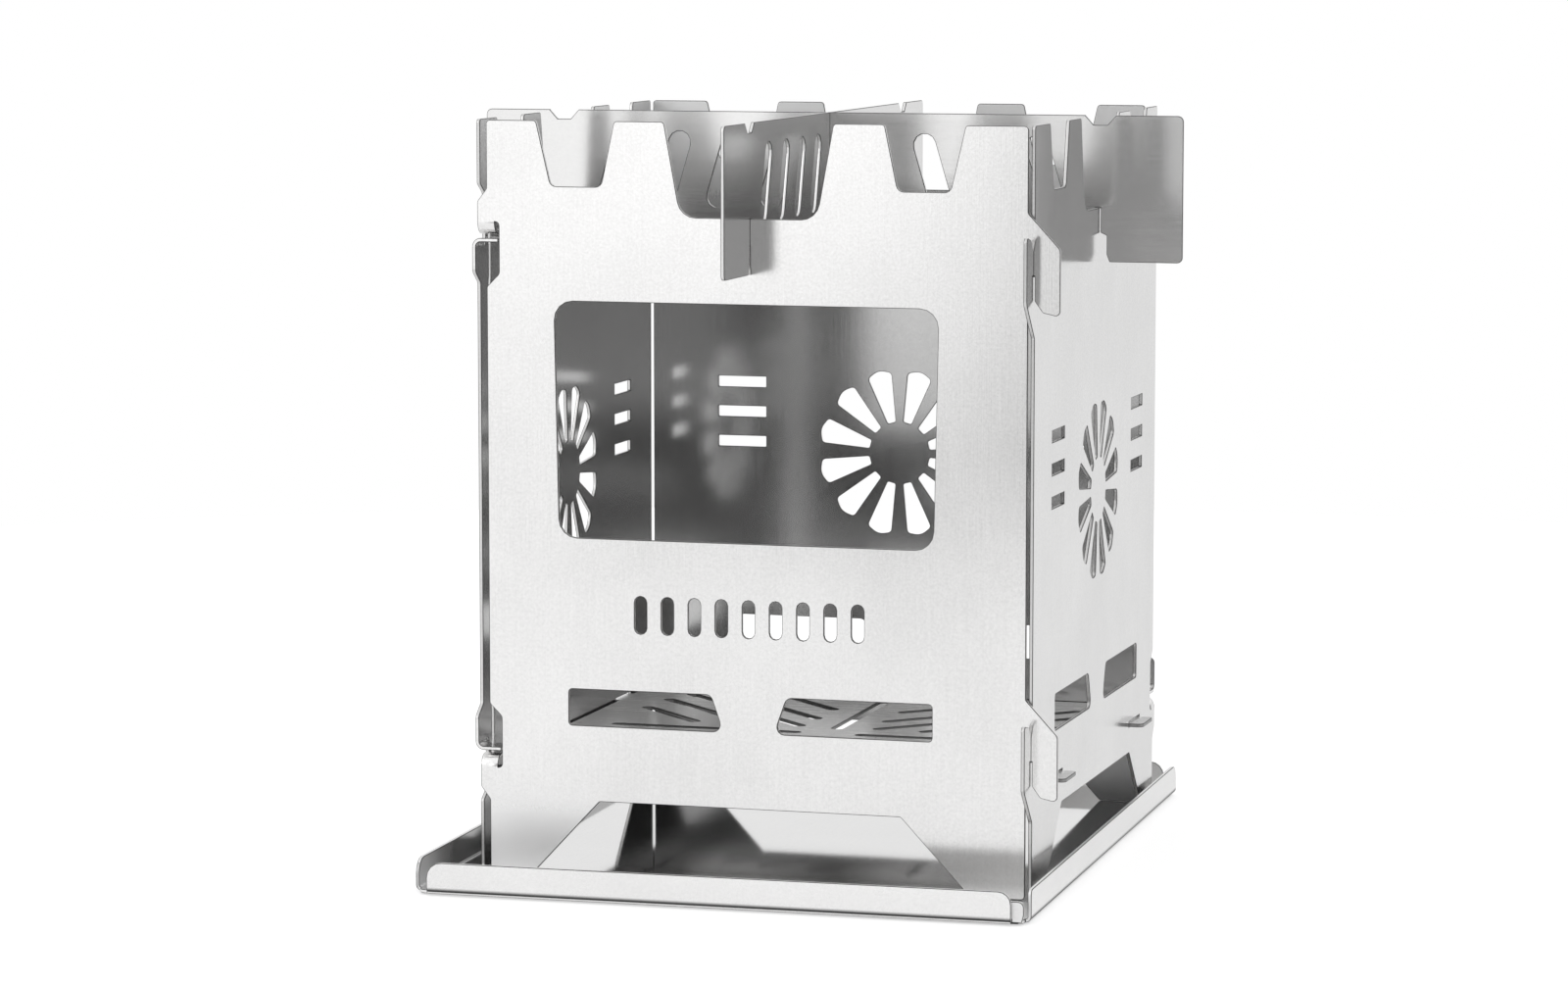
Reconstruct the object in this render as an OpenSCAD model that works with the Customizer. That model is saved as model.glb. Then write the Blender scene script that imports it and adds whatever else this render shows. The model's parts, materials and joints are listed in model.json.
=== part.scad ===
// Folding four-sided hobo stove: two hinged pairs of sheet panels that hook
// together, a fire grate, an ash tray and two crossed pot supports.
// Origin: centre of the firebox on the underside of the ash tray. X runs to the
// right along the window panel, Y to the back, Z up. Millimetres.

/* [Firebox] */
// Width of the firebox across the outer faces of two facing panels
body_w = 152; // [135:1:180]
// Height of the panels from foot to crown
panel_h = 199.8; // [185:0.1:235]
// Thickness of every sheet
sheet_t = 1; // [0.8:0.1:1.2]
// Width of the fuel window in the front panel
window_w = 103; // [80:1:104]
// Height of the fuel window
window_h = 62.4; // [45:0.1:66]
// Height of the leg cut-outs at the foot of the panels
leg_h = 20.1; // [14:0.1:23]

/* [Crown] */
// Depth of the wide centre notch that carries a pot support
crown_depth = 24.8; // [22:0.1:27]
// Width of the centre notch at its bottom
crown_w = 36.8; // [24:0.1:40]
// Depth of the narrow notches beside it
side_notch_depth = 17.2; // [10:0.1:20]

/* [Hinges and hooks] */
// Radius of the long hinge rods
rod_r = 0.55; // [0.45:0.05:0.7]
// Radius of the upset ends of the rods
rod_head_r = 0.9; // [0.8:0.05:1]
// How far the hinge ears reach inward
ear_reach = 7.2; // [6.6:0.1:7.2]
// How far the hook fingers stand out beyond the outer faces
finger_out = 7; // [5:0.1:9]
// Length of a hook finger past the level where the two panels rest
finger_len = 9.8; // [7:0.1:11]

/* [Pot supports] */
// Length of each pot support
trivet_l = 197.4; // [186:0.1:215]
// Height of each pot support
trivet_h = 39.4; // [36:0.1:44]
// Width of the slanted oblong holes in the pot supports
trivet_hole_w = 6.2; // [4:0.1:7]

/* [Ash tray] */
// Height of the ash tray
tray_h = 8.5; // [7:0.1:12]
// Room on each side between the firebox and the side walls of the tray
tray_side = 5.5; // [4.7:0.1:20]
// Room between the firebox and the front and back walls of the tray
tray_end = 26.2; // [15:0.1:60]
// How far the tray is turned under the firebox, in degrees
tray_turn = 1.3; // [0:0.1:1.4]

/* [Part] */
// Which piece to draw

/* [Hidden] */
EPS = 0.01;
ARC = 4;
half = body_w / 2;
ks = body_w / 152;
// gap between pieces that rest on each other
rest_gap = 0.05;
// height of the panel feet above the underside of the tray
foot_z = sheet_t + rest_gap;

// panel edges, measured from the centre line
hook_edge = half - sheet_t - 0.5;
hinge_edge = half - 4.2;
crown_z = panel_h - crown_depth;
side_notch_z = panel_h - side_notch_depth;
foot_w = 16.05;

// fuel window
window_z = 90.2;
window_off = -1.1;
window_taper = 0.6;

// draught slots above the legs
draught_z0 = 40.3;
draught_z1 = 50;

// hinge ears: h is counted from the joint between the two ears towards the
// nearer end of the panel
hinge_hi = panel_h - 30.6;
hinge_lo = 31.9;
bend_a = 2.3;
bend_b = 1.3;
ear_gap = 1;
ear_a0 = half - 6.4;
ear_a1 = half - 1.6;
ear_b0 = half - 7;
ear_b1 = half - 0.3;
relief = 1.2;
rod_at = half - 3.8;
hole_clear = 0.04;
head_h = 0.5;

// hooks: level where the slot of one panel rests in the slot of the other
hook_hi = panel_h - 38.3;
hook_lo = 36.2;
finger_in = half + 0.25;
finger_edge = half + finger_out;
hook_gap = 0.12;

// grate
grate_z = 27.4;
grate_slot_w = 3.4;
grate_half = half - sheet_t - 0.8;
tab_w = 13.4;
tab_at = 47.3 * ks;
tab_out = 4;
tab_slot_h = sheet_t + 0.6;

// pot supports
trivet_half = trivet_l / 2;
trivet_top = panel_h;
trivet_bot = panel_h - trivet_h;
trivet_mid = (trivet_top + trivet_bot) / 2;
lap_w = sheet_t + 0.24;
foot_gap = 0.2;
hook_step = 1.7;

// tray outline
tray_bend = 0.6;
tray_bend_o = tray_bend + sheet_t;
tray_x = half + tray_side + sheet_t;
tray_y = half + tray_end + sheet_t;
tray_at = [-2.8, -2.2];

titanium = [0.80, 0.80, 0.79];
rod_metal = [0.70, 0.70, 0.70];

// where a bend of inner radius r leaves the panel, counted from the joint
function fold_at(r) = ear_gap / 2 + r + sheet_t;

// outline helpers: every corner is [x, y, radius]
function unit(v) = v / norm(v);
function xy(p) = [p[0], p[1]];
function flip(l) = [for (i = [len(l) - 1:-1:0]) l[i]];
function wrapped(a) = a > 180 ? a - 360 : (a < -180 ? a + 360 : a);
function fillet(a, b, c, r) =
    let (u = unit(a - b))
    let (v = unit(c - b))
    let (opening = acos(max(-1, min(1, u * v))))
    let (ctr = b + unit(u + v) * r / sin(opening / 2))
    let (p = b + u * r / tan(opening / 2))
    let (q = b + v * r / tan(opening / 2))
    let (a0 = atan2(p[1] - ctr[1], p[0] - ctr[0]))
    let (turn = wrapped(atan2(q[1] - ctr[1], q[0] - ctr[0]) - a0))
    [for (i = [0:ARC]) ctr + r * [cos(a0 + turn * i / ARC), sin(a0 + turn * i / ARC)]];
function rounded(l) =
    let (n = len(l))
    [for (i = [0:n - 1])
        each (l[i][2] > 0
            ? fillet(xy(l[(i + n - 1) % n]), xy(l[i]), xy(l[(i + 1) % n]), l[i][2])
            : [xy(l[i])])];

// a bar with round ends from p to q
function bar(p, q, r) =
    let (a = atan2(q[1] - p[1], q[0] - p[0]))
    concat([for (i = [0:6]) q + r * [cos(a - 90 + 30 * i), sin(a - 90 + 30 * i)]],
           [for (i = [0:6]) p + r * [cos(a + 90 + 30 * i), sin(a + 90 + 30 * i)]]);

// hinge edge of a panel whose ear lies on the near side of the joint
function ear_a_path(z, d) = [
    [-hinge_edge, z - d * 13.2, 1],
    [-ear_a0 + relief, z - d * 9.8, 1.5],
    [-ear_a0 + relief, z + d * (fold_at(bend_a) + 0.1), relief - 0.1],
    [-ear_a0, z + d * (fold_at(bend_a) + 0.1), 0],
    [-ear_a0, z + d * fold_at(bend_a), 0],
    [-ear_a1, z + d * fold_at(bend_a), 0],
    [-ear_a1, z + d * 9.2, 1.5],
    [-hinge_edge, z + d * 12.6, 1]];

// hinge edge of the neighbour, whose ear lies on the far side of the joint
function ear_b_path(z, d) = [
    [-hinge_edge, z - d * 12.5, 1],
    [-ear_b1, z - d * 9.5, 1.5],
    [-ear_b1, z - d * fold_at(bend_b), 0],
    [-ear_b0, z - d * fold_at(bend_b), 0],
    [-ear_b0, z - d * (fold_at(bend_b) + 0.1), 0],
    [-ear_b0 + relief, z - d * (fold_at(bend_b) + 0.1), relief - 0.1],
    [-ear_b0 + relief, z + d * 10.9, 1.5],
    [-hinge_edge, z + d * 13.6, 1]];

// hook edge: d = -1 for a finger that points down, 1 for one that points up
function finger_path(z, d) = [
    [hook_edge, z - d * 16, 1],
    [finger_edge, z - d * 6.8, 2],
    [finger_edge, z + d * (finger_len + 0.6), 1.2],
    [finger_in + 2.2, z + d * (finger_len - 0.4), 1],
    [finger_in, z + d * (finger_len - 3.4), 1],
    [finger_in, z, 0],
    [hook_edge, z, 0]];

// crown from the hinge side to the hook side
function crown_path() = [
    [-hinge_edge, panel_h, 1],
    [-58 * ks, panel_h, 1],
    [-54 * ks, side_notch_z, 2],
    [-40.1 * ks, side_notch_z, 2],
    [-36.5 * ks, panel_h, 1],
    [-crown_w / 2 - 4.5 * ks, panel_h, 1],
    [-crown_w / 2, crown_z, 5],
    [crown_w / 2, crown_z, 5],
    [crown_w / 2 + 4.5 * ks, panel_h, 1],
    [36.5 * ks, panel_h, 1],
    [40.1 * ks, side_notch_z, 2],
    [54 * ks, side_notch_z, 2],
    [58 * ks, panel_h, 1],
    [hook_edge, panel_h, 1]];

// feet from the hook side to the hinge side
function foot_path() = [
    [hook_edge, 0, 1],
    [half - foot_w, 0, 0.8],
    [half - foot_w - leg_h * 0.933, leg_h, 1],
    [-half + foot_w + leg_h * 0.933, leg_h, 1],
    [-half + foot_w, 0, 0.8],
    [-hinge_edge, 0, 1]];

module panel_outline(ear, finger) {
    low = ear == "a" ? ear_a_path(hinge_lo, -1) : ear_b_path(hinge_lo, -1);
    high = ear == "a" ? ear_a_path(hinge_hi, 1) : ear_b_path(hinge_hi, 1);
    lift = finger < 0 ? hook_gap : 0;
    hook1 = finger < 0 ? finger_path(hook_hi + lift, -1) : flip(finger_path(hook_hi, 1));
    hook0 = finger < 0 ? finger_path(hook_lo + lift, -1) : flip(finger_path(hook_lo, 1));
    polygon(rounded(concat(flip(low), high, crown_path(), hook1, hook0, foot_path())));
}

module draught_slots() {
    for (m = [-1, 1]) {
        polygon(rounded([
            [m * 49.6 * ks, draught_z0, 1],
            [m * 6.95 * ks, draught_z0, 2],
            [m * 10.4 * ks, draught_z1, 2],
            [m * 49.6 * ks, draught_z1, 1]]));
    }
}

module window_hole() {
    polygon(rounded([
        [window_off - window_w / 2 + window_taper, window_z, 5],
        [window_off + window_w / 2 - window_taper, window_z, 5],
        [window_off + window_w / 2 + window_taper, window_z + window_h, 5],
        [window_off - window_w / 2 - window_taper, window_z + window_h, 5]]));
}

// plain upright vents below the window
module vent_row() {
    for (i = [-4:4]) {
        polygon(bar([i * 7.4 * ks, 67], [i * 7.4 * ks, 73.6], 1.7));
    }
}

// three short vents on each side of the rosette
module side_vents() {
    for (m = [-1, 1], i = [0:2]) {
        translate([m * 47.4 * ks - 7.2, 99.4 + i * 8.7]) square([14.4, 3.1]);
    }
}

// a plain ring of twelve narrow wedge openings
module rosette() {
    for (i = [0:11]) {
        translate([0, 98.8]) rotate(15 + 30 * i) polygon(rounded([
            [9, -1.2, 0.6],
            [23, -3.6, 1.2],
            [24.6, 0, 4],
            [23, 3.6, 1.2],
            [9, 1.2, 0.6]]));
    }
}

module tab_slots() {
    for (m = [-1, 1]) {
        translate([m * tab_at - tab_w / 2 - 0.3, grate_z - rest_gap]) square([tab_w + 0.6, tab_slot_h]);
    }
}

// a sheet strip that leaves the panel plane at the fold and turns inward;
// drawn in the plane across the strip: x inward, y along h
module ear_section(r) {
    ro = r + sheet_t;
    fold = fold_at(r);
    intersection() {
        translate([ro, fold]) difference() {
            circle(r = ro, $fn = 48);
            circle(r = r, $fn = 48);
        }
        translate([0, fold - ro]) square([ro, ro]);
    }
    translate([ro - EPS, fold - ro]) square([ear_reach - ro + EPS, sheet_t]);
    translate([0, fold - EPS]) square([sheet_t, 2 * EPS]);
}

// side = 1 keeps h pointing up, -1 turns it down
module ear(s0, s1, r, z, side) {
    translate([-s1, -half, z]) scale([1, 1, side]) difference() {
        rotate([90, 0, 90]) linear_extrude(s1 - s0) ear_section(r);
        translate([s1 - rod_at, half - rod_at, -5]) cylinder(r = rod_r + hole_clear, h = 20, $fn = 40);
    }
}

module folded_panel(ear_kind, finger) {
    s0 = ear_kind == "a" ? ear_a0 : ear_b0;
    s1 = ear_kind == "a" ? ear_a1 : ear_b1;
    r = ear_kind == "a" ? bend_a : bend_b;
    up = ear_kind == "a" ? 1 : -1;
    translate([0, 0, foot_z]) {
        translate([0, -half + sheet_t, 0]) rotate([90, 0, 0]) linear_extrude(sheet_t) difference() {
            panel_outline(ear_kind, finger);
            draught_slots();
            children();
        }
        ear(s0, s1, r, hinge_hi, up);
        ear(s0, s1, r, hinge_lo, -up);
    }
}

module front_panel() {
    color(titanium) folded_panel("a", -1) {
        window_hole();
        vent_row();
    }
}

module left_panel() {
    color(titanium) rotate([0, 0, -90]) mirror([1, 0, 0]) folded_panel("b", -1) {
        side_vents();
        rosette();
        tab_slots();
    }
}

module right_panel() {
    color(titanium) rotate([0, 0, 90]) mirror([1, 0, 0]) folded_panel("a", 1) {
        side_vents();
        rosette();
        tab_slots();
    }
}

module back_panel() {
    color(titanium) rotate([0, 0, 180]) folded_panel("b", 1) {
        side_vents();
        rosette();
    }
}

// a rod through all four ears of a corner, with an upset end beyond the outer two
module hinge_rod(corner) {
    stack = sheet_t + ear_gap / 2 + rest_gap;
    low = hinge_lo - stack;
    high = hinge_hi + stack;
    color(rod_metal) translate([corner * rod_at, corner * rod_at, foot_z]) {
        translate([0, 0, low - EPS]) cylinder(r = rod_r, h = high - low + 2 * EPS, $fn = 40);
        for (m = [0, 1]) {
            translate([0, 0, m * (low + high)]) mirror([0, 0, m]) translate([0, 0, low]) mirror([0, 0, 1])
                rotate_extrude($fn = 40) polygon([
                    [0, 0],
                    [rod_head_r, 0],
                    [rod_head_r - 0.08, head_h * 0.5],
                    [rod_head_r - 0.3, head_h * 0.85],
                    [0, head_h]]);
        }
    }
}

module front_left_rod() {
    hinge_rod(-1);
}

module back_right_rod() {
    hinge_rod(1);
}

// a cross of long slots with slanted slots between its arms
module grate_holes() {
    r = grate_slot_w / 2;
    for (i = [0:3]) {
        rotate(90 * i) polygon(bar([9.5, 0], [61, 0], r));
        rotate(90 * i) polygon(bar([11.5, 11.5], [57, 57], r));
        rotate(90 * i) polygon(bar([25, 10.5], [60.5, 46], r));
        rotate(90 * i) polygon(bar([42, 10.5], [62, 30.5], r));
        rotate(90 * i) polygon(bar([10.5, 25], [46, 60.5], r));
        rotate(90 * i) polygon(bar([10.5, 42], [30.5, 62], r));
    }
}

function side_tabs() = [for (k = [-1, 1]) each [
    [grate_half, k * tab_at - tab_w / 2, 0],
    [half + tab_out, k * tab_at - tab_w / 2, 1.5],
    [half + tab_out, k * tab_at + tab_w / 2, 1.5],
    [grate_half, k * tab_at + tab_w / 2, 0]]];
function turned(l) = [for (p = l) [-p[0], -p[1], p[2]]];

module fire_grate() {
    g = grate_half;
    color(titanium) translate([0, 0, foot_z + grate_z]) linear_extrude(sheet_t) difference() {
        polygon(rounded(concat(
            [[g, -g, 4]],
            side_tabs(),
            [[g, g, 4], [-g, g, 4]],
            turned(side_tabs()),
            [[-g, -g, 4]])));
        scale([ks, ks]) grate_holes();
    }
}

// outline of a pot support with its feet over the panels
module trivet_outline(outer_step) {
    seat = crown_z + rest_gap;
    in = half - sheet_t - foot_gap;
    out = half + foot_gap;
    difference() {
        polygon(rounded([
            [-trivet_half, trivet_bot, 1.5],
            [trivet_half, trivet_bot, 1.5],
            [trivet_half, trivet_top, 1.5],
            [-trivet_half, trivet_top, 1.5]]));
        for (m = [-1, 1]) {
            polygon([
                [m * in, trivet_bot - 1],
                [m * in, seat],
                [m * out, seat],
                [m * out, trivet_bot + 7.9],
                [m * (out + outer_step), trivet_bot + 7.1],
                [m * (out + outer_step), trivet_bot + 2],
                [m * (out + outer_step + 1.2), trivet_bot - 1]]);
            polygon([
                [m * (half - 1.9), trivet_top - 2.6],
                [m * (half + 1.9), trivet_top - 2.6],
                [m * (half + 4.7), trivet_top + 0.5],
                [m * (half - 4.7), trivet_top + 0.5]]);
            for (c = [11.9, 27.2, 42.5, 58.7]) {
                polygon(bar(
                    [m * c * ks, trivet_top - 8.6],
                    [m * (c + 4.4) * ks, trivet_top - 23.5],
                    trivet_hole_w / 2));
            }
        }
    }
}

module front_back_trivet() {
    color(titanium) translate([sheet_t / 2, 0, foot_z]) rotate([90, 0, -90]) mirror([1, 0, 0])
        linear_extrude(sheet_t) difference() {
            trivet_outline(0.4);
            translate([-lap_w / 2, trivet_mid]) square([lap_w, trivet_h]);
        }
}

module side_to_side_trivet() {
    color(titanium) translate([0, sheet_t / 2, foot_z]) rotate([90, 0, 0])
        linear_extrude(sheet_t) difference() {
            trivet_outline(hook_step);
            translate([-lap_w / 2, trivet_mid - trivet_h + rest_gap]) square([lap_w, trivet_h]);
        }
}

// one upright tray wall along x from a to b, outer face at y = 0, floor to +y
module tray_wall(a, b, ra, rb) {
    translate([0, sheet_t, 0]) rotate([90, 0, 0]) linear_extrude(sheet_t) polygon(rounded([
        [a, tray_bend_o - EPS, 0],
        [b, tray_bend_o - EPS, 0],
        [b, tray_h, rb],
        [a, tray_h, ra]]));
    translate([a, 0, 0]) rotate([90, 0, 90]) linear_extrude(b - a) intersection() {
        translate([tray_bend_o, tray_bend_o]) difference() {
            circle(r = tray_bend_o, $fn = 40);
            circle(r = tray_bend, $fn = 40);
        }
        square(tray_bend_o + EPS);
    }
}

// the tray lies loosely under the feet, turned and shifted a little
module ash_tray() {
    color(titanium) translate(tray_at) rotate(tray_turn) {
        linear_extrude(sheet_t) polygon(rounded([
            [-tray_x + tray_bend_o, -tray_y + tray_bend_o, 2],
            [tray_x - tray_bend_o, -tray_y + tray_bend_o, 2],
            [tray_x - tray_bend_o, tray_y - tray_bend_o, 2],
            [-tray_x + tray_bend_o, tray_y - tray_bend_o, 2]]));
        translate([0, -tray_y, 0]) tray_wall(-tray_x + 4.4, tray_x - 4.4, 4, 3.3);
        translate([0, tray_y, 0]) mirror([0, 1, 0]) tray_wall(-tray_x + 4.4, tray_x - 4.4, 4, 4);
        translate([tray_x, 0, 0]) rotate([0, 0, 90]) tray_wall(-tray_y + 4.4, tray_y - 4.4, 1.5, 4);
        translate([-tray_x, 0, 0]) mirror([1, 0, 0]) rotate([0, 0, 90])
            tray_wall(-tray_y + 4.4, tray_y - 4.4, 4, 4);
        // low locking tab at the front right corner
        translate([0, -tray_y + 2 * sheet_t + 0.1, 0]) rotate([90, 0, 0]) linear_extrude(sheet_t)
            polygon(rounded([
                [tray_x - 5, sheet_t / 2, 0],
                [tray_x - 1.8, sheet_t / 2, 0],
                [tray_x - 1.3, 2.4, 0.5],
                [tray_x - 1.3, tray_h - 2.6, 1.5],
                [tray_x - 5, tray_h - 2.6, 0]]));
    }
}

front_panel();
left_panel();
right_panel();
back_panel();
front_left_rod();
back_right_rod();
fire_grate();
ash_tray();
front_back_trivet();
side_to_side_trivet();
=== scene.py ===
"""Looks of a folding hobo stove of brushed titanium sheet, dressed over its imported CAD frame.

Each sub-assembly is a class: the four folded panels, the crossed pot supports, the fire
grate, the ash tray and the hinge rods. Every sheet piece is made again from its CAD solid
with softened cut edges, and each finish is a frozen dataclass that builds its own shader.
"""
import json
import logging
import math
from dataclasses import dataclass
from enum import Enum
from typing import Any, ClassVar, Optional, Sequence, Union

import bmesh
import bpy
from mathutils import Matrix, Vector

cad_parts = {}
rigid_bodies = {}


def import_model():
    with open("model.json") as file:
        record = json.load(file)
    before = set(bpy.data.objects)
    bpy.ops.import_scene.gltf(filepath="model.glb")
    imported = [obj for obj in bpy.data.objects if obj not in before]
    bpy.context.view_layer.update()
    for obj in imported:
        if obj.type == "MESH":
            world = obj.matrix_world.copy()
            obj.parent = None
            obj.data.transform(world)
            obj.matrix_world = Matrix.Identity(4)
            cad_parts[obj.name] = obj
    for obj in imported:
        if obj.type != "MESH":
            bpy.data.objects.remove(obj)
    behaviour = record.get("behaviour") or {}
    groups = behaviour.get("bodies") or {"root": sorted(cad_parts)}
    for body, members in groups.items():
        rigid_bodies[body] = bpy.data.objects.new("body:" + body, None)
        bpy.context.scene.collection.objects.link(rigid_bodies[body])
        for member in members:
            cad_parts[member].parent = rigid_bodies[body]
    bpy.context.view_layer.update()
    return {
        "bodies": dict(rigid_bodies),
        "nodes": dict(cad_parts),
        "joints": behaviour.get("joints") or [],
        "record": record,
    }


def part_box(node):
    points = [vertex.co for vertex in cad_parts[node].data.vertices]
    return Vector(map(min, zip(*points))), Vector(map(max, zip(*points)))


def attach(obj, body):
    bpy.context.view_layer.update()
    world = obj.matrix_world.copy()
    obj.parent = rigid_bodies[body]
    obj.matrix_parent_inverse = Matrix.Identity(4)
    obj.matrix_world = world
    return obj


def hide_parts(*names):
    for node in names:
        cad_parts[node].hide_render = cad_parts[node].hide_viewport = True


LOG = logging.getLogger("hobo_stove")
MM = 0.001


class Grain(Enum):
    """Direction in which a sheet was brushed, as the stretch of its grain along X, Y and Z."""

    UPRIGHT = (1.0, 1.0, 0.016)
    ALONG_X = (0.016, 1.0, 1.0)
    ALONG_Y = (1.0, 0.016, 1.0)
    EVEN = (1.0, 1.0, 1.0)


class Face(Enum):
    """Part of a sheet that a face belongs to, numbered by its material slot."""

    OUTSIDE = 0
    INSIDE = 1
    CUT = 2
    # Painted shade, near black, along the softened corners.
    SHADED_EDGE = 3


Number = Union[int, float]
Operand = Union["Wire", Number]


class Wire:
    """A shader socket that can be used in arithmetic."""

    def __init__(self, graph: "Graph", socket: bpy.types.NodeSocket) -> None:
        """Wraps a socket.

        Args:
            graph: The graph that owns the socket.
            socket: The output socket.
        """
        self.graph = graph
        self.socket = socket

    def _math(self, operation: str, a: Operand, b: Operand) -> "Wire":
        """Adds one Math node and returns its result."""
        return self.graph.node("ShaderNodeMath", {"operation": operation}, {0: a, 1: b})

    def __add__(self, other: Operand) -> "Wire":
        """self + other."""
        return self._math("ADD", self, other)

    def __radd__(self, other: Operand) -> "Wire":
        """other + self."""
        return self._math("ADD", other, self)

    def __sub__(self, other: Operand) -> "Wire":
        """self - other."""
        return self._math("SUBTRACT", self, other)

    def __rsub__(self, other: Operand) -> "Wire":
        """other - self."""
        return self._math("SUBTRACT", other, self)

    def __mul__(self, other: Operand) -> "Wire":
        """self * other."""
        return self._math("MULTIPLY", self, other)

    def __rmul__(self, other: Operand) -> "Wire":
        """other * self."""
        return self._math("MULTIPLY", other, self)

    def __truediv__(self, other: Operand) -> "Wire":
        """self / other."""
        return self._math("DIVIDE", self, other)

    def __rtruediv__(self, other: Operand) -> "Wire":
        """other / self."""
        return self._math("DIVIDE", other, self)

    def __pow__(self, other: Operand) -> "Wire":
        """self ** other."""
        return self._math("POWER", self, other)

    def ramp(self, low: float, high: float, to_low: float = 0.0,
             to_high: float = 1.0) -> "Wire":
        """Maps low..high to to_low..to_high, clamped and smooth.

        Args:
            low: Input at the start.
            high: Input at the end.
            to_low: Result at the start.
            to_high: Result at the end.

        Returns:
            The mapped value.
        """
        settings = {"interpolation_type": "SMOOTHSTEP", "clamp": True}
        values = {"Value": self, "From Min": low, "From Max": high,
                  "To Min": to_low, "To Max": to_high}
        return self.graph.node("ShaderNodeMapRange", settings, values)


@dataclass
class Graph:
    """One node tree and the single method that adds nodes to it."""

    tree: bpy.types.NodeTree

    def node(self, kind: str, settings: Optional[dict[str, Any]] = None,
             values: Optional[dict[Any, Any]] = None, out: Union[int, str] = 0) -> Wire:
        """Adds one node.

        Args:
            kind: Blender's node type.
            settings: Node properties, set before the sockets; "stops" fills a colour ramp.
            values: Socket name or number to a value or a Wire.
            out: Output to return.

        Returns:
            The chosen output.
        """
        made = self.tree.nodes.new(kind)
        for name, value in (settings or {}).items():
            if name == "stops":
                ramp = made.color_ramp
                while len(ramp.elements) < len(value):
                    ramp.elements.new(1.0)
                for element, (place, colour) in zip(ramp.elements, value):
                    element.position = place
                    element.color = (*colour, 1.0)
            else:
                setattr(made, name, value)
        for name, value in (values or {}).items():
            socket = made.inputs[name]
            if isinstance(value, Wire):
                self.tree.links.new(value.socket, socket)
            else:
                socket.default_value = value
        return Wire(self, made.outputs[out]) if made.outputs else Wire(self, made.inputs[0])

    def place(self) -> Wire:
        """Point in the row's own frame, in metres."""
        return self.node("ShaderNodeTexCoord", out="Object")

    def stretched(self, point: Wire, scale: Sequence[float]) -> Wire:
        """The point times a scale for each axis."""
        return self.node("ShaderNodeVectorMath", {"operation": "MULTIPLY"},
                         {0: point, 1: tuple(scale)})

    def noise(self, point: Wire, scale: float, detail: float = 2.0, rough: float = 0.5) -> Wire:
        """Noise from 0 to 1.

        Args:
            point: Where it is read.
            scale: Features per metre.
            detail: Octaves.
            rough: Weight of the finer octaves.

        Returns:
            The noise value.
        """
        values = {"Vector": point, "Scale": scale, "Detail": detail, "Roughness": rough}
        return self.node("ShaderNodeTexNoise", None, values)

    def blend(self, amount: Operand, a: Any, b: Any) -> Wire:
        """Colour a where amount is 0 and b where it is 1."""
        return self.node("ShaderNodeMix", {"data_type": "RGBA"}, {0: amount, 6: a, 7: b}, out=2)

    def axis(self, point: Wire, name: str) -> Wire:
        """One coordinate of a point."""
        return self.node("ShaderNodeSeparateXYZ", None, {0: point}, out=name)


def rgba(value: float, warm: float = 0.0) -> tuple[float, float, float, float]:
    """A near-neutral grey.

    Args:
        value: Linear level.
        warm: Shift of red against blue.

    Returns:
        The colour.
    """
    return (value * (1 + warm), value, value * (1 - warm), 1.0)


@dataclass(frozen=True)
class Fade:
    """A change of level and roughness where every named axis has run from its start to its end."""

    where: tuple[tuple[str, float, float], ...]
    light: float
    rough: float = 0.0

    def over(self, g: Graph, point: Wire, colour: Wire, roughness: Wire) -> tuple[Wire, Wire]:
        """Lays the change over a finish.

        Args:
            g: The graph.
            point: Where the finish is looked up.
            colour: Its colour so far.
            roughness: Its roughness so far.

        Returns:
            The new colour and roughness.
        """
        amount = math.prod(g.axis(point, name).ramp(start, end) for name, start, end in self.where)
        return g.blend(amount, colour, rgba(self.light)), roughness + amount * self.rough


@dataclass(frozen=True)
class Speckle:
    """One layer of noise in a finish and its share of the tone."""

    scale: float
    detail: float
    rough: float
    weight: float

    def value(self, g: Graph, point: Wire) -> Wire:
        """The layer from 0 to 1 at a point."""
        return g.noise(point, self.scale, self.detail, self.rough)

    def swing(self, value: Wire) -> Wire:
        """What the layer adds to the tone, above or below its middle."""
        return (value - 0.5) * self.weight


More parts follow.
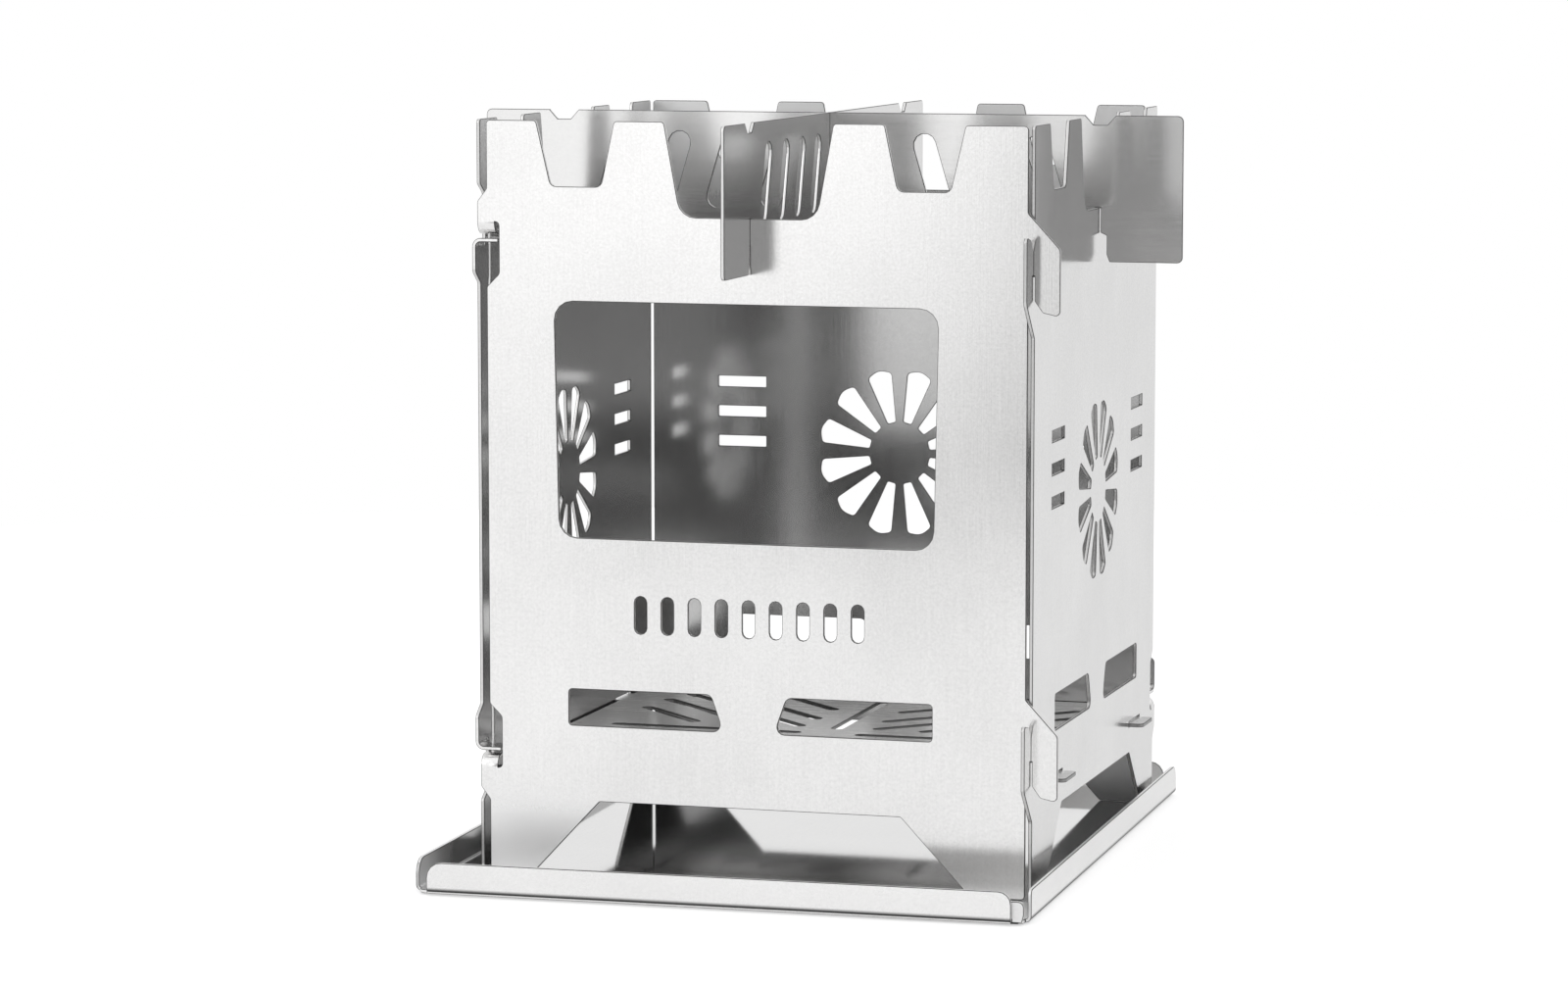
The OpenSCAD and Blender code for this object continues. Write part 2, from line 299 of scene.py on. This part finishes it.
@dataclass(frozen=True)
class BrushedTitanium:
    """Satin titanium with a fine directional grain."""

    name: str
    light: float
    dark: float
    grain: Grain
    rough: float = 0.33
    rough_spread: float = 0.07
    bump: float = 0.12
    metal: float = 1.0
    fades: tuple[Fade, ...] = ()
    warm: ClassVar[float] = 0.004
    hairline: ClassVar[Speckle] = Speckle(3000.0, 3.0, 0.7, 0.5)
    streak: ClassVar[Speckle] = Speckle(900.0, 2.0, 0.5, 0.12)
    grit: ClassVar[Speckle] = Speckle(1300.0, 3.0, 0.7, 0.9)
    cloud: ClassVar[Speckle] = Speckle(22.0, 3.0, 0.6, 0.7)
    relief: ClassVar[float] = 0.04 * MM

    def build(self) -> bpy.types.Material:
        """Builds the shader.

        Returns:
            The finished material.
        """
        material = bpy.data.materials.new(self.name)
        material.use_nodes = True
        tree = material.node_tree
        tree.nodes.clear()
        g = Graph(tree)
        point = g.place()
        along = g.stretched(point, self.grain.value)
        fine, broad = self.hairline.value(g, along), self.streak.value(g, along)
        grit, cloud = self.grit.value(g, point), self.cloud.value(g, point)
        tone = self.hairline.swing(fine) + self.streak.swing(broad)
        tone = tone + self.grit.swing(grit) + self.cloud.swing(cloud) + 0.5
        colour = g.blend(tone.ramp(0.0, 1.0), rgba(self.dark, self.warm),
                         rgba(self.light, self.warm))
        roughness = self.rough + (fine - 0.5) * self.rough_spread * 2
        roughness = roughness + (cloud - 0.5) * self.rough_spread
        for fade in self.fades:
            colour, roughness = fade.over(g, point, colour, roughness)
        height = fine + broad * 0.3 + grit * 0.5
        normal = g.node("ShaderNodeBump", None,
                        {"Strength": self.bump, "Distance": self.relief, "Height": height})
        shader = g.node("ShaderNodeBsdfPrincipled", None, {
            "Base Color": colour, "Metallic": self.metal, "Roughness": roughness,
            "Normal": normal})
        g.node("ShaderNodeOutputMaterial", None, {"Surface": shader})
        return material


@dataclass(frozen=True)
class SheetFinish:
    """The finishes of one sheet: outside, inside, cut edge and a painted dark shade along its
    softened corners.
    """

    name: str
    outside: BrushedTitanium
    inside: BrushedTitanium
    cut: BrushedTitanium

    def build(self) -> list[bpy.types.Material]:
        """Builds the materials in the order of Face."""
        # Softened corners are painted near black, as painted shade along edges and gaps.
        edge_shade = BrushedTitanium(f"{self.name}_burr", 0.09, 0.06, Grain.EVEN, 0.40)
        return [part.build() for part in (self.outside, self.inside, self.cut, edge_shade)]


def panel_finish(name: str, light: float, shade: float,
                 foot: tuple[Fade, ...] = ()) -> SheetFinish:
    """Finish of a folded panel.

    Args:
        name: Start of the material names.
        light: Mean level of the outside.
        shade: Level of the painted shade on the inside below the grate.
        foot: Painted light and roughness laid over the feet outside.

    Returns:
        The panel's finishes.
    """
    # Inside, the top is painted lighter as painted light and made rougher; below the grate it is
    # painted darker as painted shade.
    painted_crown_light = Fade((("Z", 0.150, 0.194),), 0.84, 0.22)
    painted_ash_space_shade = Fade((("Z", 0.026, 0.016),), shade)
    return SheetFinish(
        name,
        BrushedTitanium(f"{name}_brushed", light + 0.09, light - 0.09, Grain.UPRIGHT, 0.16, 0.05,
                        fades=foot),
        BrushedTitanium(f"{name}_inner", 0.61, 0.51, Grain.UPRIGHT, 0.15, 0.04, 0.06,
                        fades=(painted_crown_light, painted_ash_space_shade)),
        # The cut edges are set darker than the supports' cut edges, as painted shade along the
        # gaps.
        BrushedTitanium(f"{name}_cut", 0.74, 0.62, Grain.EVEN, 0.30, 0.1, 0.2),
    )


def support_finish(name: str, light: float, grain: Grain) -> SheetFinish:
    """Finish of a pot support.

    Args:
        name: Start of the material names.
        light: Level of both sides.
        grain: Brushing direction.

    Returns:
        The support's finishes.
    """
    return SheetFinish(
        name,
        BrushedTitanium(f"{name}_brushed", light, light * 0.92, grain, 0.17, 0.05),
        BrushedTitanium(f"{name}_inner", light, light * 0.9, grain, 0.16, 0.03, 0.03),
        BrushedTitanium(f"{name}_cut", 0.85, 0.748, Grain.EVEN, 0.34, 0.1, 0.2),
    )


@dataclass
class SheetPiece:
    """A piece cut from sheet, made again from its CAD solid with softened edges."""

    node: str
    body: str
    slot: str
    finish: SheetFinish
    outward: Vector
    face_at: float
    two_sided: bool = False
    thick: ClassVar[float] = 1.0 * MM
    softening: ClassVar[float] = 0.18 * MM
    same_point: ClassVar[float] = 0.001 * MM
    flat_below: ClassVar[float] = math.radians(0.6)
    smooth_below: ClassVar[float] = math.radians(30)
    corner_above: ClassVar[float] = math.radians(34)
    square_on: ClassVar[float] = 0.9995

    def _region(self, face: bmesh.types.BMFace) -> Face:
        """Tells outside, inside and cut edge apart.

        Args:
            face: A face of the piece.

        Returns:
            The part of the sheet it belongs to.
        """
        lean = face.normal.dot(self.outward)
        depth = self.face_at - face.calc_center_median().dot(self.outward)
        if depth > self.thick * 1.15:
            return Face.OUTSIDE
        if lean > 0.5:
            return Face.OUTSIDE
        if lean < -0.5:
            return Face.OUTSIDE if self.two_sided else Face.INSIDE
        return Face.CUT

    def build(self, frame: dict[str, Any]) -> bpy.types.Object:
        """Makes the mesh, dresses it and ties it to its body.

        Args:
            frame: The loaded frame.

        Returns:
            The new object.
        """
        mesh = frame["nodes"][self.node].data.copy()
        mesh.name = f"{self.node}_sheet"
        mesh.materials.clear()
        piece = bpy.data.objects.new(f"{self.node}_sheet", mesh)
        bpy.context.scene.collection.objects.link(piece)
        bm = bmesh.new()
        bm.from_mesh(mesh)
        bmesh.ops.remove_doubles(bm, verts=bm.verts, dist=self.same_point)
        bmesh.ops.dissolve_limit(bm, angle_limit=self.flat_below, verts=bm.verts, edges=bm.edges)
        bm.normal_update()
        sharp = [edge for edge in bm.edges
                 if len(edge.link_faces) == 2 and edge.calc_face_angle(0.0) > self.corner_above]
        made = bmesh.ops.bevel(bm, geom=sharp, offset=self.softening, offset_type="OFFSET",
                               segments=2, profile=0.6, affect="EDGES", clamp_overlap=False)
        bm.normal_update()
        # The faces of the softened corners take the painted edge shade.
        shaded_edges = set(made["faces"])
        for face in bm.faces:
            face.material_index = (Face.SHADED_EDGE if face in shaded_edges else self._region(face)).value
            face.smooth = max(abs(c) for c in face.normal) < self.square_on
        for edge in bm.edges:
            shallow = edge.calc_face_angle(0.0) < self.smooth_below
            edge.smooth = len(edge.link_faces) == 2 and shallow
        bm.to_mesh(mesh)
        bm.free()
        for material in self.finish.build():
            mesh.materials.append(material)
        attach(piece, self.body)
        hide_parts(self.node)
        LOG.info("%s: %d faces", piece.name, len(mesh.polygons))
        return piece


@dataclass
class Firebox:
    """The four folded panels."""

    half: float = 76 * MM

    def build(self, frame: dict[str, Any]) -> list[bpy.types.Object]:
        """Builds the panels.

        Args:
            frame: The loaded frame.

        Returns:
            The four pieces.
        """
        # The front panel's left foot is painted lighter as painted light, and made rougher.
        painted_foot_light = Fade((("Z", 0.028, 0.012), ("X", 0.02, -0.03)), 0.86, 0.18)
        # The outside levels are painted light and shade panel by panel, front lightest and right
        # darkest; the level below the grate inside is a painted shade of its own on each panel.
        rows = (
            ("front_panel", "front_left_pair", (0, -1, 0), 0.83, 0.10, (painted_foot_light,)),
            ("left_panel", "front_left_pair", (-1, 0, 0), 0.80, 0.05, ()),
            ("right_panel", "back_right_pair", (1, 0, 0), 0.77, 0.45, ()),
            ("back_panel", "back_right_pair", (0, 1, 0), 0.80, 0.23, ()),
        )
        made = []
        for node, body, out, light, shade, foot in rows:
            finish = panel_finish(node, light, shade, foot)
            piece = SheetPiece(node, body, "titanium_sheet", finish, Vector(out), self.half)
            made.append(piece.build(frame))
        return made


@dataclass
class PotSupports:
    """The two crossed supports."""

    light: float = 0.80
    half_thick: float = 0.5 * MM

    def build(self, frame: dict[str, Any]) -> list[bpy.types.Object]:
        """Builds both supports.

        Args:
            frame: The loaded frame.

        Returns:
            The two pieces.
        """
        made = []
        for node, out, grain in (
            ("front_back_trivet", (-1, 0, 0), Grain.ALONG_Y),
            ("side_to_side_trivet", (0, -1, 0), Grain.ALONG_X),
        ):
            finish = support_finish(node, self.light, grain)
            piece = SheetPiece(node, node, "titanium_sheet", finish, Vector(out),
                               self.half_thick, two_sided=True)
            made.append(piece.build(frame))
        return made


@dataclass
class FireGrate:
    """The slotted plate that the fire lies on."""

    top: float = 29.45 * MM
    tab_start: float = 76.2 * MM
    tab_end: float = 77.5 * MM

    def build(self, frame: dict[str, Any]) -> bpy.types.Object:
        """Builds the grate.

        Args:
            frame: The loaded frame.

        Returns:
            The piece.
        """
        # The tab tips outside the panels are painted darker as painted shade.
        painted_tab_shade = tuple(Fade((("X", side * self.tab_start, side * self.tab_end),), 0.45)
                     for side in (-1, 1))
        plate = BrushedTitanium("fire_grate_brushed", 0.95, 0.84, Grain.ALONG_X, 0.26, 0.05,
                                metal=0.55, fades=painted_tab_shade)
        # The cut edges are painted dark, as painted shade in the slots.
        cut = BrushedTitanium("fire_grate_shaded_cut", 0.30, 0.24, Grain.EVEN, 0.34, 0.1, 0.2)
        finish = SheetFinish("fire_grate", plate, plate, cut)
        piece = SheetPiece("fire_grate", "fire_grate", "titanium_sheet", finish,
                           Vector((0, 0, 1)), self.top, two_sided=True)
        return piece.build(frame)


@dataclass
class AshTray:
    """The shallow tray under the firebox, which lies a little turned."""

    centre: tuple[float, float] = (-2.8 * MM, -2.2 * MM)
    turn: float = math.radians(1.3)
    half: tuple[float, float] = (82.5 * MM, 103.2 * MM)
    floor_top: float = 1.0 * MM
    rim: float = 3.0 * MM
    skin: float = 0.3 * MM
    wall: float = 1.3 * MM

    def build(self, frame: dict[str, Any]) -> bpy.types.Object:
        """Builds the tray and sorts its faces.

        Args:
            frame: The loaded frame.

        Returns:
            The piece.
        """
        shaded_fold = Fade((("Z", 0.0021, 0.0010),), 0.05, 0.2)
        before_panel = Fade((("Y", -0.074, -0.080),), 0.84, 0.3)
        # The inner face of the left wall is painted darker as painted shade.
        painted_left_wall_shade = Fade((("X", -0.0815, -0.0835),), 0.26)
        finish = SheetFinish(
            "ash_tray",
            BrushedTitanium("ash_tray_brushed", 0.95, 0.83, Grain.ALONG_Y, 0.20, 0.05,
                            fades=(shaded_fold,)),
            BrushedTitanium("ash_tray_inner", 0.88, 0.80, Grain.ALONG_Y, 0.055, 0.025, 0.03,
                            fades=(before_panel, painted_left_wall_shade)),
            BrushedTitanium("ash_tray_cut", 0.90, 0.80, Grain.EVEN, 0.36, 0.1, 0.2, metal=0.5),
        )
        piece = SheetPiece("ash_tray", "ash_tray", "titanium_sheet", finish,
                           Vector((0, 0, 1)), self.floor_top)
        made = piece.build(frame)
        self._sort_faces(made.data)
        return made

    def _sort_faces(self, mesh: bpy.types.Mesh) -> None:
        """Gives the upper side, outer side and rim their own finish.

        Args:
            mesh: The tray's mesh.
        """
        back = Matrix.Rotation(-self.turn, 2)
        for face in mesh.polygons:
            if face.material_index == Face.SHADED_EDGE.value:
                continue
            at = back @ (face.center.to_2d() - Vector(self.centre))
            outer = any(abs(c) > h - self.skin for c, h in zip(at, self.half))
            across = abs(at.y) > self.half[1] - self.wall
            if outer or face.center.z < self.skin:
                region = Face.OUTSIDE
            elif across or (face.normal.z > 0.7 and face.center.z > self.rim):
                region = Face.CUT
            else:
                region = Face.INSIDE
            face.material_index = region.value


@dataclass
class HingeRods:
    """The two long rods that the panels fold on, with domed ends."""

    light: float = 0.72
    shank: float = 0.55 * MM
    head: float = 0.9 * MM
    rise: float = 0.5 * MM
    steps: ClassVar[int] = 28
    dome_at: ClassVar[tuple[int, ...]] = (10, 30, 50, 70)
    smooth_below: ClassVar[float] = math.radians(40)

    def build(self, frame: dict[str, Any]) -> list[bpy.types.Object]:
        """Builds both rods.

        Args:
            frame: The loaded frame; not used.

        Returns:
            The two pieces.
        """
        material = BrushedTitanium("rod_metal", self.light, self.light * 0.85, Grain.EVEN,
                                   0.24, 0.08, 0.2).build()
        rows = (("front_left_rod", "front_left_pair"), ("back_right_rod", "back_right_pair"))
        return [self._one(node, body, material) for node, body in rows]

    def _profile(self, low: float, high: float) -> list[tuple[float, float]]:
        """Half section of a rod between two levels.

        Args:
            low: Lowest point.
            high: Highest point.

        Returns:
            Radius and height pairs from bottom to top.
        """
        dome = [(self.head * math.cos(a), self.rise * math.sin(a))
                for a in map(math.radians, self.dome_at)]
        bottom = [(r, low + self.rise - z) for r, z in reversed(dome)]
        top = [(r, high - self.rise + z) for r, z in dome]
        neck = [(self.head, low + self.rise), (self.shank, low + self.rise),
                (self.shank, high - self.rise), (self.head, high - self.rise)]
        return bottom + neck + top

    def _one(self, node: str, body: str, material: bpy.types.Material) -> bpy.types.Object:
        """Turns one rod.

        Args:
            node: CAD node it stands for.
            body: Body it rides on.
            material: Its metal.

        Returns:
            The new object.
        """
        low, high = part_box(node)
        centre = (low + high) / 2
        bm = bmesh.new()
        rings = []
        for radius, z in self._profile(low.z, high.z):
            ring = [bm.verts.new((centre.x + radius * math.cos(2 * math.pi * i / self.steps),
                                  centre.y + radius * math.sin(2 * math.pi * i / self.steps), z))
                    for i in range(self.steps)]
            rings.append(ring)
        for a, b in zip(rings, rings[1:]):
            for i in range(self.steps):
                j = (i + 1) % self.steps
                bm.faces.new((a[i], a[j], b[j], b[i]))
        for ring, z, turn in ((rings[0], low.z, True), (rings[-1], high.z, False)):
            tip = bm.verts.new((centre.x, centre.y, z))
            for i in range(self.steps):
                j = (i + 1) % self.steps
                bm.faces.new((tip, ring[j], ring[i]) if turn else (tip, ring[i], ring[j]))
        bmesh.ops.recalc_face_normals(bm, faces=bm.faces)
        for face in bm.faces:
            face.smooth = True
        for edge in bm.edges:
            edge.smooth = edge.calc_face_angle(0.0) < self.smooth_below
        mesh = bpy.data.meshes.new(f"{node}_turned")
        bm.to_mesh(mesh)
        bm.free()
        mesh.materials.append(material)
        piece = bpy.data.objects.new(f"{node}_turned", mesh)
        bpy.context.scene.collection.objects.link(piece)
        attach(piece, body)
        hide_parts(node)
        LOG.info("%s: turned", piece.name)
        return piece


@dataclass(frozen=True)
class SoftBox:
    """A square soft lamp that points at the stove."""

    name: str
    at: tuple[float, float, float]
    size: float
    power: float
    aim: tuple[float, float, float] = (0.0, 0.0, 0.1)

    def build(self) -> None:
        """Adds the lamp."""
        light = bpy.data.lights.new(self.name, "AREA")
        light.shape = "SQUARE"
        light.size = self.size
        light.energy = self.power
        lamp = bpy.data.objects.new(self.name, light)
        lamp.location = self.at
        beam = Vector(self.aim) - Vector(self.at)
        lamp.rotation_euler = beam.to_track_quat("-Z", "Y").to_euler()
        bpy.context.scene.collection.objects.link(lamp)


@dataclass
class Studio:
    """Pale floor, soft lamps, a grey card behind the camera, and the camera."""

    floor_radius: float = 0.8
    floor_level: float = -0.4 * MM
    floor_paper: tuple[float, float] = (0.50, 0.54)
    floor_glow: float = 0.62
    floor_mirrored: tuple[float, float] = (0.38, 0.50)
    floor_span: tuple[float, float] = (-0.3, 0.3)
    floor_steps: ClassVar[int] = 96
    paper_rough: float = 0.95
    paper_shine: float = 0.1
    air_lit: float = 0.85
    air_mirrored: tuple[float, float] = (0.86, 1.06)
    air_span: tuple[float, float] = (-0.7, 0.7)
    card_levels: tuple[float, float] = (1.02, 1.28)
    card_dark: float = 0.36
    card_dim: float = 0.30
    card_distance: float = 2.0
    card_turn: tuple[float, float] = (-21.0, 44.0)
    card_edge: tuple[float, float] = (-0.39, -0.31)
    card_rise: tuple[float, float] = (-0.10, 0.09)
    card_shade: tuple[float, float] = (0.02, -0.10)
    card_side: tuple[float, float] = (-0.85, -0.45)
    card_height: tuple[float, float] = (-0.8, 0.75)
    card_steps: ClassVar[int] = 24
    camera_at: tuple[float, float, float] = (0.375566, -1.319082, 0.252247)
    camera_turn: float = 0.286253
    camera_dip: float = 0.113166
    focal: float = 115.2431
    lamps: tuple[SoftBox, ...] = (
        SoftBox("front_box", (-2.0, -1.8, 1.3), 1.6, 10.0),
        SoftBox("right_box", (2.4, 0.3, 1.2), 1.4, 4.0),
        SoftBox("back_box", (0.8, 2.6, 1.2), 1.6, 2.0),
    )

    def build(self) -> None:
        """Sets up floor, world, card, lamps, camera and view."""
        self._floor()
        self._card()
        self._world()
        for lamp in self.lamps:
            lamp.build()
        self._camera()
        bpy.context.scene.view_settings.view_transform = "Standard"

    def _stage(self, name: str, points: list[tuple[float, float, float]],
               faces: list[tuple[int, ...]], material: bpy.types.Material) -> None:
        """Adds a piece of the studio.

        Args:
            name: Its name.
            points: Its corners.
            faces: Its faces.
            material: Its finish.
        """
        mesh = bpy.data.meshes.new(name)
        mesh.from_pydata(points, [], faces)
        mesh.materials.append(material)
        thing = bpy.data.objects.new(name, mesh)
        bpy.context.scene.collection.objects.link(thing)

    def _seen_directly(self, g: Graph) -> Wire:
        """1 for what the camera looks at without a bounce."""
        return g.node("ShaderNodeLightPath", out="Is Camera Ray")

    def _floor(self) -> None:
        """A round pale floor that glows a little and keeps the object's shadow."""
        material = bpy.data.materials.new("floor_paper")
        material.use_nodes = True
        tree = material.node_tree
        tree.nodes.clear()
        g = Graph(tree)
        point = g.place()
        colour = g.blend(g.noise(point, 3.0), *map(rgba, self.floor_paper))
        back, front = self.floor_mirrored
        side = g.axis(point, "Y").ramp(*self.floor_span)
        mirrored = self._paper(g, colour, g.blend(side, rgba(front), rgba(back)))
        direct = self._paper(g, colour, rgba(self.floor_glow))
        shader = g.node("ShaderNodeMixShader", None,
                        {0: self._seen_directly(g), 1: mirrored, 2: direct})
        g.node("ShaderNodeOutputMaterial", None, {"Surface": shader})
        turns = [2 * math.pi * i / self.floor_steps for i in range(self.floor_steps)]
        ring = [(self.floor_radius * math.cos(turn), self.floor_radius * math.sin(turn),
                 self.floor_level) for turn in turns]
        self._stage("studio_floor", ring, [tuple(range(self.floor_steps))], material)

    def _paper(self, g: Graph, colour: Any, glow: Any) -> Wire:
        """Matt paper.

        Args:
            g: The graph.
            colour: Its colour.
            glow: What it gives off.

        Returns:
            The shader.
        """
        return g.node("ShaderNodeBsdfPrincipled", None, {
            "Base Color": colour, "Roughness": self.paper_rough,
            "Specular IOR Level": self.paper_shine,
            "Emission Color": glow, "Emission Strength": 1.0})

    def _card(self) -> None:
        """The grey of the room behind the camera, which the metal shows and the camera doesn't."""
        material = bpy.data.materials.new("card_paper")
        material.use_nodes = True
        tree = material.node_tree
        tree.nodes.clear()
        g = Graph(tree)
        across, up = g.axis(g.place(), "X"), g.axis(g.place(), "Z")
        level = up.ramp(*self.card_rise, *self.card_levels)
        dimmed = up.ramp(*self.card_shade) * across.ramp(*self.card_side) * self.card_dim
        level = level * (1.0 - dimmed)
        level = level + (self.card_dark - level) * across.ramp(*self.card_edge)
        grey = g.node("ShaderNodeEmission", None, {"Color": level, "Strength": 1.0})
        white = g.node("ShaderNodeEmission", None, {"Color": rgba(1.0), "Strength": 1.0})
        shader = g.node("ShaderNodeMixShader", None,
                        {0: self._seen_directly(g), 1: grey, 2: white})
        g.node("ShaderNodeOutputMaterial", None, {"Surface": shader})
        steps = self.card_steps
        first, last = map(math.radians, self.card_turn)
        points = []
        for i in range(steps + 1):
            turn = first + (last - first) * i / steps
            x, y = self.card_distance * math.sin(turn), -self.card_distance * math.cos(turn)
            points += [(x, y, z) for z in self.card_height]
        faces = [(2 * i, 2 * i + 1, 2 * i + 3, 2 * i + 2) for i in range(steps)]
        self._stage("studio_card", points, faces, material)

    def _world(self) -> None:
        """White around the object, for the camera, the metal and the floor."""
        world = bpy.data.worlds.new("studio_air")
        bpy.context.scene.world = world
        world.use_nodes = True
        tree = world.node_tree
        tree.nodes.clear()
        g = Graph(tree)
        back, front = self.air_mirrored
        side = g.axis(g.node("ShaderNodeTexCoord", out="Generated"), "Y").ramp(*self.air_span)
        mirrored = g.blend(side, rgba(front), rgba(back))
        shown = sum(g.node("ShaderNodeLightPath", out=kind)
                    for kind in ("Is Glossy Ray", "Is Transmission Ray"))
        colour = g.blend(shown.ramp(0.0, 1.0), rgba(self.air_lit), mirrored)
        colour = g.blend(self._seen_directly(g), colour, rgba(1.0))
        shader = g.node("ShaderNodeBackground", None, {"Color": colour, "Strength": 1.0})
        g.node("ShaderNodeOutputWorld", None, {"Surface": shader})

    def _camera(self) -> None:
        """Adds the camera, which looks a little down at the middle of the object."""
        camera = bpy.data.cameras.new("view_camera")
        camera.sensor_width = 36.0
        camera.lens = self.focal
        camera.clip_start = 0.01
        camera.clip_end = 50.0
        holder = bpy.data.objects.new("view_camera", camera)
        holder.location = self.camera_at
        holder.rotation_euler = (math.pi / 2 - self.camera_dip, 0.0, self.camera_turn)
        bpy.context.scene.collection.objects.link(holder)
        bpy.context.scene.camera = holder


def main() -> None:
    """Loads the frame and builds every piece."""
    logging.basicConfig(level=logging.INFO, format="%(message)s")
    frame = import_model()
    Firebox().build(frame)
    PotSupports().build(frame)
    FireGrate().build(frame)
    AshTray().build(frame)
    HingeRods().build(frame)
    Studio().build()


if __name__ == "__main__":
    main()
